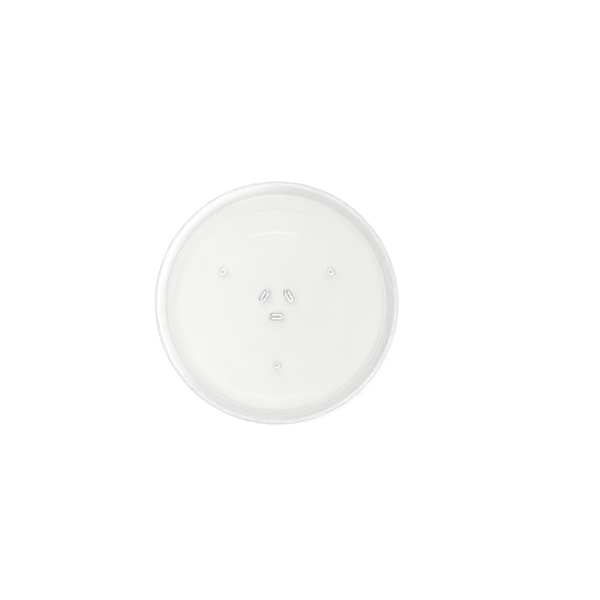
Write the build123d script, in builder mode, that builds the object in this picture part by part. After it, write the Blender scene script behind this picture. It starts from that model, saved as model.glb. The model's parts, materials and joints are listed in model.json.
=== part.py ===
from build123d import *
import os
from math import cos, radians, sin, tan

# Microwave turntable plate, pressed in one piece from clear glass.
# A shallow round dish: flat floor, flared wall, fire-polished rim. Under the floor are a shallow
# ring for the rollers to run in, three drive lugs about the middle and three feet outside them.
# Millimetres, +Z up. Z is the axis the plate turns about, and z = 0 is the table the feet stand on.

# Dish
plate_diameter = 245.0  # over the rim
dish_height = 14.5  # underside of the floor to the top of the rim
floor_thickness = 5.0
wall_lean = 43.0  # outer face, degrees from upright
wall_taper = 1.0  # how much more the inner face leans, degrees
heel_round = 6.5  # outside, underside to wall
floor_round = 7.0  # inside, floor to wall

# Rim: an upright edge, a bevel and a level top, each rounded into the next
rim_bevel = 45.0  # degrees from upright
rim_round = 2.0
rim_flat = 0.1  # left straight between two rounds

# Roller track, a shallow ring pressed into the underside
heel_land = 16.2  # flat between the track and the wall's outer face
track_width = 23.5
track_depth = 0.4
shoulder_run = 3.0  # breadth of each sloping shoulder

# Drive lugs, which the wings of the oven's coupler turn between
lug_count = 3  # feet too, each in line with a lug
first_lug = 30.0  # degrees from +X
lug_circle = 28.0  # diameter through the middles of the lugs
lug_length = 9.5  # at the tip, along the circle's tangent
lug_width = 2.4  # at the tip
lug_height = 5.5
lug_draft = 24.0  # degrees, all round
lug_tip_round = 1.0
lug_root_flare = 1.1

# Feet
stand_clearance = 0.5  # lug tips to the table
foot_inset = 8.7  # middle of a foot to the track's inner shoulder
foot_tip_diameter = 4.6
foot_draft = 12.0  # degrees, all round
foot_tip_round = 2.0

# Heights
foot_height = lug_height + stand_clearance
underside = foot_height
floor_top = underside + floor_thickness
rim_top = underside + dish_height
middle_of_floor = underside + floor_thickness / 2


def taken(turn):
    """Length that a round of radius 1 takes from each straight beside a corner of this turn."""
    return tan(radians(turn / 2))


# Rim, as long on each straight as its rounds need
inner_lean = wall_lean + wall_taper
upright = rim_round * (taken(wall_lean) + taken(rim_bevel)) + rim_flat
bevel = rim_round * (taken(rim_bevel) + taken(90 - rim_bevel)) + rim_flat
level = rim_round * (taken(90 - rim_bevel) + taken(90 - inner_lean)) + rim_flat
bevel_foot = rim_top - bevel * cos(radians(rim_bevel))
wall_top = bevel_foot - upright

# Radii
rim_radius = plate_diameter / 2
level_outer_radius = rim_radius - bevel * sin(radians(rim_bevel))
level_inner_radius = level_outer_radius - level
heel_radius = rim_radius - (wall_top - underside) * tan(radians(wall_lean))
floor_radius = level_inner_radius - (rim_top - floor_top) * tan(radians(inner_lean))
track_outer_radius = heel_radius - heel_land
track_inner_radius = track_outer_radius - track_width
foot_circle_radius = track_inner_radius - foot_inset
half_shoulder = shoulder_run / 2

# A round is limited by the straights beside it: room is the share of them that it may take.
room = 0.9
inner_wall = (rim_top - floor_top) / cos(radians(inner_lean))
outer_wall = (wall_top - underside) / cos(radians(wall_lean))
floor_limit = room * inner_wall / taken(90 - inner_lean) - rim_round
heel_limit = (room * outer_wall - rim_round * taken(wall_lean)) / taken(90 - wall_lean)
lug_tip_limit = room * lug_width / 2 / taken(90 - lug_draft)
foot_tip_limit = room * foot_tip_diameter / 2 / taken(90 - foot_draft)

section = [
    (0, underside),
    (track_inner_radius - half_shoulder, underside),
    (track_inner_radius + half_shoulder, underside + track_depth),
    (track_outer_radius - half_shoulder, underside + track_depth),
    (track_outer_radius + half_shoulder, underside),
    (heel_radius, underside),
    (rim_radius, wall_top),
    (rim_radius, bevel_foot),
    (level_outer_radius, rim_top),
    (level_inner_radius, rim_top),
    (floor_radius, floor_top),
    (0, floor_top),
]
track_rounds = [0, 0, 0, 0]
rim_rounds = [rim_round, rim_round, rim_round, rim_round]
section_rounds = [
    *track_rounds,
    min(heel_round, heel_limit),
    *rim_rounds,
    min(floor_round, floor_limit),
]

with BuildPart() as plate:
    # Dish, turned from its half section
    with BuildSketch(Plane.XZ):
        with BuildLine():
            FilletPolyline(*section, radius=section_rounds)
            Line(section[-1], section[0])
        make_face()
    revolve(axis=Axis.Z)

    # Drive lugs, drawn at their tips and widening upwards into the floor
    with BuildSketch(Plane.XY.offset(underside - lug_height)):
        with PolarLocations(lug_circle / 2, lug_count, start_angle=first_lug):
            SlotOverall(lug_length, lug_width, rotation=90)
    extrude(amount=middle_of_floor - underside + lug_height, taper=-lug_draft)
    chamfer(plate.edges(Select.NEW), length=lug_root_flare)
    lug_tips = plate.faces().group_by(Axis.Z)[0]
    fillet(lug_tips.edges(), radius=min(lug_tip_round, lug_tip_limit))

    # Feet, standing on the table and widening upwards into the floor
    with PolarLocations(foot_circle_radius, lug_count, start_angle=first_lug):
        Cone(
            bottom_radius=foot_tip_diameter / 2,
            top_radius=foot_tip_diameter / 2 + middle_of_floor * tan(radians(foot_draft)),
            height=middle_of_floor,
            align=(Align.CENTER, Align.CENTER, Align.MIN),
        )
    foot_tips = plate.faces().group_by(Axis.Z)[0]
    fillet(foot_tips.edges(), radius=min(foot_tip_round, foot_tip_limit))

plate.part.label = "turntable_plate"

os.makedirs("parts", exist_ok=True)
export_step(plate.part, "parts/turntable_plate.step")
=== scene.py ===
import json
from math import ceil, cos, pi, radians, sin, tan

import bmesh
import bpy
from mathutils import Matrix, Vector


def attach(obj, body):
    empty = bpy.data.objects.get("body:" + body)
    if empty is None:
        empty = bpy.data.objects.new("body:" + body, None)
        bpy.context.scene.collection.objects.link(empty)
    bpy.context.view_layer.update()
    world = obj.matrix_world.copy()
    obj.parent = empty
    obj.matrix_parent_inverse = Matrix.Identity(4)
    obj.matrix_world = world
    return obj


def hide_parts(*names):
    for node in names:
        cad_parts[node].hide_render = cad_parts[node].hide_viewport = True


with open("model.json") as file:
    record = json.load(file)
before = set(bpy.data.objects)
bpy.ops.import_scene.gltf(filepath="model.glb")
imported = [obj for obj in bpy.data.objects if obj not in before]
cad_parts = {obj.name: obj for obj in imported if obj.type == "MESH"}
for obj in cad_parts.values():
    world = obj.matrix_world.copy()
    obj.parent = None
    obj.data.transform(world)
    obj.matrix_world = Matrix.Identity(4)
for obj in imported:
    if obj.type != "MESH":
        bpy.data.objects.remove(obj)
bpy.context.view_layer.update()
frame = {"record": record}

scene = bpy.context.scene
MM = 0.001
RIGHT = (1, 0, 0)
UP = (0, 0, 1)

# Dish, with the sizes of the part
plate_diameter, _, plate_height = frame["record"]["size"]["bbox_m"]
dish_height = 14.5 * MM
floor_thickness = 5.0 * MM
wall_lean = radians(43)
inner_lean = radians(44)
heel_round = 6.5 * MM
floor_round = 7.0 * MM
rim_bevel = radians(45)
rim_round = 2.0 * MM
rim_flat = 0.1 * MM

# Roller track
heel_land = 16.2 * MM
track_width = 23.5 * MM
track_depth = 0.4 * MM
shoulder_run = 3.0 * MM
shoulder_round = 9.0 * MM

# Drive lugs and feet, one of each at every angle
lug_angles = [radians(a) for a in (30, 150, 270)]
lug_circle = 28.0 * MM
lug_length = 9.5 * MM
lug_width = 2.4 * MM
lug_height = 5.5 * MM
lug_draft = radians(24)
lug_tip_round = 1.0 * MM
lug_root_round = 1.6 * MM
foot_inset = 8.7 * MM
foot_tip_diameter = 4.6 * MM
foot_draft = radians(12)
foot_tip_round = 2.0 * MM
foot_root_round = 0.9 * MM
skirt_rounds = 1.5  # breadth of the level skirt about a lug or a foot, in rounds of its root

# Fineness of the mesh
turn_step = radians(5)  # of a round in a section
fewest_steps = 2
dish_steps = 384
lug_end_steps = 24
foot_steps = 48
merge_gap = 0.001 * MM

# Camera, aimed by the plate's place in the photograph
image_width = 600  # pixels, as are the next two
plate_middle = (276.4, 301.9)
plate_radius = 122.1
elevation = radians(86)
lens = 71.0  # millimetres, as is the sensor
sensor = 36.0

# Studio light: a broad soft box overhead with a dim hood and a small dark flag in it, a small window on
# the near side and a low white card on the right, in a dim room. Each has a middle, is full within its
# heart, and ends at its edge. Hearts and edges are angles from the middle.
light_level = 1.71
room_level = 0.114
box_middle = (-0.1, 0.22, 0.97)
box_level = 1.8
box_heart = radians(20)
box_edge = radians(60)
hood_middle = (0.0, 0.18, 1.0)
hood_share = 0.64  # of the box's light, taken away
hood_heart = radians(26)
hood_edge = radians(42)
flag_middle = (0.0, 0.62, 1.0)
flag_heart = radians(6.3)
flag_edge = radians(12)
window_middle = (0.0, -0.26, 0.97)
window_level = 1.25
window_heart = radians(4)
window_edge = radians(8.5)
card_middle = (1.0, -0.4, 0.0)
card_level = 1.35
card_heart = radians(49.5)
card_edge = radians(81.4)
card_top = (0.1, 0.18)  # rise at which the card starts to end, and ends

# Floor: white, with a glow that is strongest on the left, painted light as if more light reached the left
# side
floor_half = 4.0  # half of its side, metres
floor_colour = 0.97
floor_glow = 0.16
# Painted light: the floor's glow is stronger on the left and weaker on the right
painted_light_falloff = 0.6  # share of the glow that is lost from left to right
painted_light_zone = (-130.0 * MM, 110.0 * MM)

# Glass: its tone, darker in the wall, the lugs and the feet as painted shade and lighter along the rim as
# painted light, and its polish, softer along the rim
glass_tint = (0.857, 0.857, 0.849, 1)
streak_tint = (0.845, 0.845, 0.836, 1)
# Painted shade: the wall ring darkened for the shadow on the floor below that is seen through it
wall_painted_shade = (0.82, 0.82, 0.812, 1)
# Painted light: the rim made clearer than the rest of the glass, for the bright band of unshaded floor seen
# through it
rim_painted_light = (0.975, 0.975, 0.97, 1)
# Painted shade: the lugs and the feet darkened for the dark ridges and spots seen in them
lug_painted_shade = (0.45, 0.45, 0.444, 1)
foot_painted_shade = (0.63, 0.63, 0.622, 1)
feet_zone = (28.0 * MM, 42.0 * MM)  # from the axis, as are the next two
shaded_wall_zone = (105.5 * MM, 108.5 * MM)
rim_zone = (118.3 * MM, 120.5 * MM)
nub_zone = (0.2 * MM, 1.0 * MM)  # below the floor
streak_scale = 38.0
streak_detail = 1.0
streak_depth = 0.02 * MM
glass_polish = 0.01
rim_polish = 0.28
glass_index = 1.51

# Light paths: glass needs many bounces, and a little blur keeps its glints calm
glass_bounces = 32
floor_bounces = 8
glint_blur = 0.1


def taken(turn):
    """Length that a round of radius 1 takes from each straight beside a corner of this turn."""
    return tan(turn / 2)


# Heights, with a rim as long on each straight as its rounds need
upright = rim_round * (taken(wall_lean) + taken(rim_bevel)) + rim_flat
bevel = rim_round * (taken(rim_bevel) + taken(pi / 2 - rim_bevel)) + rim_flat
level = rim_round * (taken(pi / 2 - rim_bevel) + taken(pi / 2 - inner_lean)) + rim_flat
rim_top = plate_height
bevel_foot = rim_top - bevel * cos(rim_bevel)
wall_top = bevel_foot - upright
underside = rim_top - dish_height
track_top = underside + track_depth
floor_top = underside + floor_thickness

# Radii
rim_radius = plate_diameter / 2
level_outer_radius = rim_radius - bevel * sin(rim_bevel)
level_inner_radius = level_outer_radius - level
heel_radius = rim_radius - (wall_top - underside) * tan(wall_lean)
floor_radius = level_inner_radius - (rim_top - floor_top) * tan(inner_lean)
track_outer_radius = heel_radius - heel_land
track_inner_radius = track_outer_radius - track_width
foot_circle_radius = track_inner_radius - foot_inset
half_shoulder = shoulder_run / 2


class Wire:
    """An output of a node tree, which takes part in plain expressions."""

    def __init__(self, tree, socket=None):
        self.tree = tree
        self.socket = socket

    def node(self, kind, settings=None, sockets=None, out=0):
        """Adds a node, sets it up, then fills its sockets with values or wires."""
        made = self.tree.nodes.new(kind)
        for name, value in (settings or {}).items():
            setattr(made, name, value)
        for name, value in (sockets or {}).items():
            if isinstance(value, Wire):
                self.tree.links.new(value.socket, made.inputs[name])
            else:
                made.inputs[name].default_value = value
        return Wire(self.tree, made.outputs[out])

    def math(self, operation, first, second):
        return self.node("ShaderNodeMath", {"operation": operation}, {0: first, 1: second})

    def clamped(self):
        return self.node("ShaderNodeClamp", None, {0: self})

    def __add__(self, other):
        return self.math("ADD", self, other)

    __radd__ = __add__

    def __sub__(self, other):
        return self.math("SUBTRACT", self, other)

    def __rsub__(self, other):
        return self.math("SUBTRACT", other, self)

    def __mul__(self, other):
        return self.math("MULTIPLY", self, other)

    __rmul__ = __mul__


def smooth(value, start, end):
    """0 below start, 1 above end, with a soft step between."""
    return value.node(
        "ShaderNodeMapRange",
        {"interpolation_type": "SMOOTHSTEP"},
        {"Value": value, "From Min": start, "From Max": end},
    )


def along(place, way):
    """How far a place or a direction reaches along a way."""
    settings = {"operation": "DOT_PRODUCT"}
    return place.node("ShaderNodeVectorMath", settings, {0: place, 1: Vector(way).normalized()}, out="Value")


def lobe(way, middle, heart, edge):
    """1 where a direction is within the heart of a lobe, 0 beyond its edge."""
    return smooth(along(way, middle), cos(edge), cos(heart))


def blend(share, first, second):
    """A colour between two colours, the second where the share is 1."""
    # Places of the colour sockets on a node that has others of the same names
    share_in, first_in, second_in, colour_out = 0, 6, 7, 2
    sockets = {share_in: share, first_in: first, second_in: second}
    return share.node("ShaderNodeMix", {"data_type": "RGBA"}, sockets, out=colour_out)


def rounded_wire(bm, corners):
    """A wire in the XZ plane through (x, z, round) corners, each rounded by its own radius."""
    verts = [bm.verts.new((x, 0, z)) for x, z, _ in corners]
    for start, end in zip(verts, verts[1:]):
        bm.edges.new((start, end))
    for vert, (_, _, radius) in zip(verts, corners):
        if radius:
            legs = [edge.other_vert(vert).co - vert.co for edge in vert.link_edges]
            turn = pi - legs[0].angle(legs[1])
            bmesh.ops.bevel(
                bm,
                geom=[vert],
                offset=radius * taken(turn),
                offset_type="OFFSET",
                affect="VERTICES",
                segments=max(fewest_steps, ceil(turn / turn_step)),
                profile=0.5,
                material=-1,
            )
    return bm.verts[:] + bm.edges[:]


def turned(corners, steps):
    """A rounded wire through the corners, turned all the way round the axis."""
    bm = bmesh.new()
    wire = rounded_wire(bm, corners)
    bmesh.ops.spin(bm, geom=wire, cent=(0, 0, 0), axis=UP, angle=2 * pi, steps=steps, use_merge=True)
    return bm


def nub_corners(tip_half, height, draft, root_round, tip_round):
    """Half section of a nub under the floor, from its skirt to the middle of its tip."""
    tip = underside - height
    root_half = tip_half + height * tan(draft)
    return [
        (root_half + skirt_rounds * root_round, underside, 0),
        (root_half, underside, root_round),
        (tip_half, tip, tip_round),
        (0, tip, 0),
    ]


def make_dish():
    """The dish, left open underneath inside the roller track."""
    corners = [
        (track_inner_radius - shoulder_run, underside, 0),
        (track_inner_radius - half_shoulder, underside, shoulder_round),
        (track_inner_radius + half_shoulder, track_top, shoulder_round),
        (track_outer_radius - half_shoulder, track_top, shoulder_round),
        (track_outer_radius + half_shoulder, underside, shoulder_round),
        (heel_radius, underside, heel_round),
        (rim_radius, wall_top, rim_round),
        (rim_radius, bevel_foot, rim_round),
        (level_outer_radius, rim_top, rim_round),
        (level_inner_radius, rim_top, rim_round),
        (floor_radius, floor_top, floor_round),
        (0, floor_top, 0),
    ]
    return turned(corners, dish_steps)


def make_lug():
    """One lug on the +X axis, its ridge along Y: half of it is turned and drawn out, then mirrored."""
    bm = bmesh.new()
    corners = nub_corners(lug_width / 2, lug_height, lug_draft, lug_root_round, lug_tip_round)
    wire = rounded_wire(bm, corners)
    half_ridge = (lug_length - lug_width) / 2
    bmesh.ops.spin(bm, geom=wire, cent=(0, 0, 0), axis=UP, angle=pi, steps=lug_end_steps)
    ends = [edge for edge in bm.edges if all(abs(vert.co.y) < merge_gap for vert in edge.verts)]
    bmesh.ops.translate(bm, verts=bm.verts, vec=(0, half_ridge, 0))
    drawn = bmesh.ops.extrude_edge_only(bm, edges=ends)["geom"]
    drawn_verts = [item for item in drawn if isinstance(item, bmesh.types.BMVert)]
    bmesh.ops.translate(bm, verts=drawn_verts, vec=(0, -half_ridge, 0))
    half_lug = bm.verts[:] + bm.edges[:] + bm.faces[:]
    bmesh.ops.mirror(bm, geom=half_lug, axis="Y", merge_dist=merge_gap)
    bmesh.ops.translate(bm, verts=bm.verts, vec=(lug_circle / 2, 0, 0))
    return bm


def make_foot():
    """One foot on the +X axis, from the floor down to the table."""
    corners = nub_corners(foot_tip_diameter / 2, underside, foot_draft, foot_root_round, foot_tip_round)
    bm = turned(corners, foot_steps)
    bmesh.ops.translate(bm, verts=bm.verts, vec=(foot_circle_radius, 0, 0))
    return bm


def joined(parts):
    """One bmesh of (bmesh, angle about Z) parts."""
    whole = bmesh.new()
    for part, angle in parts:
        copy = part.copy()
        bmesh.ops.rotate(copy, verts=copy.verts, matrix=Matrix.Rotation(angle, 3, "Z"))
        mesh = bpy.data.meshes.new("part")
        copy.to_mesh(mesh)
        whole.from_mesh(mesh)
        bpy.data.meshes.remove(mesh)
        copy.free()
    return whole


def make_plate():
    """The plate in one closed skin: dish, lugs and feet, with the underside filled in between them."""
    parts = [(make_dish(), 0)]
    lug = make_lug()
    foot = make_foot()
    for angle in lug_angles:
        parts += [(lug, angle), (foot, angle)]
    bm = joined(parts)
    bmesh.ops.remove_doubles(bm, verts=bm.verts, dist=merge_gap)
    open_edges = [edge for edge in bm.edges if edge.is_boundary]
    bmesh.ops.triangle_fill(bm, use_beauty=True, edges=open_edges, normal=(0, 0, -1))
    bmesh.ops.recalc_face_normals(bm, faces=bm.faces)
    mesh = bpy.data.meshes.new("turntable_plate_glass")
    bm.to_mesh(mesh)
    mesh.shade_smooth()
    plate = bpy.data.objects.new("turntable_plate_glass", mesh)
    scene.collection.objects.link(plate)
    plate.modifiers.new("even_normals", "WEIGHTED_NORMAL")
    return plate


def glass():
    """Clear glass, a little streaky and wavy from the press, with painted shade in the wall ring, the lugs
    and the feet and painted light along the rim.
    """
    material = bpy.data.materials.new("clear_pressed_glass")
    material.use_nodes = True
    tree = material.node_tree
    shader = tree.nodes["Principled BSDF"]
    place = Wire(tree).node("ShaderNodeTexCoord", out="Object")
    flat = place.node("ShaderNodeVectorMath", {"operation": "MULTIPLY"}, {0: place, 1: (1, 1, 0)})
    reach = flat.node("ShaderNodeVectorMath", {"operation": "LENGTH"}, {0: flat}, out="Value")
    below_floor = underside - along(place, UP)
    streaks = place.node(
        "ShaderNodeTexNoise", None, {"Vector": place, "Scale": streak_scale, "Detail": streak_detail}
    )

    # Painted light: the rim is lightened; the same mask also softens the polish there
    at_rim = smooth(reach, *rim_zone)
    # Painted shade: the glass in the wall ring is darkened
    in_shaded_wall = smooth(reach, *shaded_wall_zone)
    in_nubs = smooth(below_floor, *nub_zone)
    # Painted shade on the lugs and the feet
    nub_painted_shade = blend(smooth(reach, *feet_zone), lug_painted_shade, foot_painted_shade)
    tone_and_painted_light = blend(in_shaded_wall, blend(streaks, glass_tint, streak_tint), wall_painted_shade)
    tone_and_painted_light = blend(at_rim, blend(in_nubs, tone_and_painted_light, nub_painted_shade), rim_painted_light)
    polish = glass_polish + (rim_polish - glass_polish) * at_rim
    waves = streaks.node(
        "ShaderNodeBump", None, {"Strength": 1.0, "Distance": streak_depth, "Height": streaks}, out="Normal"
    )
    tree.links.new(tone_and_painted_light.socket, shader.inputs["Base Color"])
    tree.links.new(polish.socket, shader.inputs["Roughness"])
    tree.links.new(waves.socket, shader.inputs["Normal"])
    shader.inputs["IOR"].default_value = glass_index
    shader.inputs["Transmission Weight"].default_value = 1.0
    return material


def white_matt():
    """Matt white, which glows a little where it is looked at, also through glass or in a mirror; the glow is
    painted light, stronger on the left and weaker on the right.
    """
    material = bpy.data.materials.new("white_floor")
    material.use_nodes = True
    tree = material.node_tree
    shader = tree.nodes["Principled BSDF"]
    place = Wire(tree).node("ShaderNodeTexCoord", out="Object")
    # Painted light: the glow weakens from left to right
    painted_falloff = painted_light_falloff * smooth(along(place, RIGHT), *painted_light_zone)
    looked_at = place.node("ShaderNodeLightPath", out="Is Camera Ray")
    for ray in ("Is Glossy Ray", "Is Transmission Ray"):
        looked_at = looked_at + looked_at.node("ShaderNodeLightPath", out=ray)
    glow = looked_at.clamped() * (1 - painted_falloff)
    tree.links.new(glow.socket, shader.inputs["Emission Color"])
    shader.inputs["Emission Strength"].default_value = floor_glow
    shader.inputs["Base Color"].default_value = (floor_colour, floor_colour, floor_colour, 1)
    shader.inputs["Roughness"].default_value = 1.0
    shader.inputs["Specular IOR Level"].default_value = 0.0
    return material


def make_floor():
    """The floor under the plate, which is no piece of it."""
    bm = bmesh.new()
    bmesh.ops.create_grid(bm, x_segments=1, y_segments=1, size=floor_half)
    mesh = bpy.data.meshes.new("floor")
    bm.to_mesh(mesh)
    mesh.materials.append(white_matt())
    floor = bpy.data.objects.new("floor", mesh)
    scene.collection.objects.link(floor)


def studio_light():
    """The light that comes from each direction of the room."""
    world = bpy.data.worlds.new("studio")
    scene.world = world
    world.use_nodes = True
    tree = world.node_tree
    way = Wire(tree).node("ShaderNodeTexCoord", out="Generated")
    hood = lobe(way, hood_middle, hood_heart, hood_edge)
    flag = lobe(way, flag_middle, flag_heart, flag_edge)
    box = lobe(way, box_middle, box_heart, box_edge) * (1 - hood_share * hood) * (1 - flag)
    window = lobe(way, window_middle, window_heart, window_edge)
    above_card = smooth(along(way, UP), *card_top)
    card = lobe(way, card_middle, card_heart, card_edge) * (1 - above_card)
    light = room_level + box_level * box + window_level * window + card_level * card
    background = tree.nodes["Background"]
    background.inputs["Strength"].default_value = light_level
    tree.links.new(light.socket, background.inputs["Color"])


def aim_camera():
    """A camera almost straight above, with the plate where the photograph has it."""
    data = bpy.data.cameras.new("camera")
    data.lens = lens
    data.sensor_width = sensor
    camera = bpy.data.objects.new("camera", data)
    scene.collection.objects.link(camera)
    scene.camera = camera
    pixel = rim_radius / plate_radius
    distance = image_width * pixel * lens / sensor
    right = image_width / 2 - plate_middle[0]
    up = plate_middle[1] - image_width / 2
    aim = Vector((right * pixel, up * pixel, plate_height))
    back = Vector((0, -cos(elevation), sin(elevation)))
    camera.location = aim + back * distance
    camera.rotation_euler = (-back).to_track_quat("-Z", "Y").to_euler()


plate = make_plate()
plate.data.materials.append(glass())
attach(plate, "root")
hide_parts("turntable_plate")
make_floor()
studio_light()
aim_camera()

scene.view_settings.view_transform = "Standard"
scene.cycles.use_denoising = True
scene.cycles.blur_glossy = glint_blur
scene.cycles.max_bounces = glass_bounces
scene.cycles.glossy_bounces = glass_bounces
scene.cycles.transmission_bounces = glass_bounces
scene.cycles.diffuse_bounces = floor_bounces
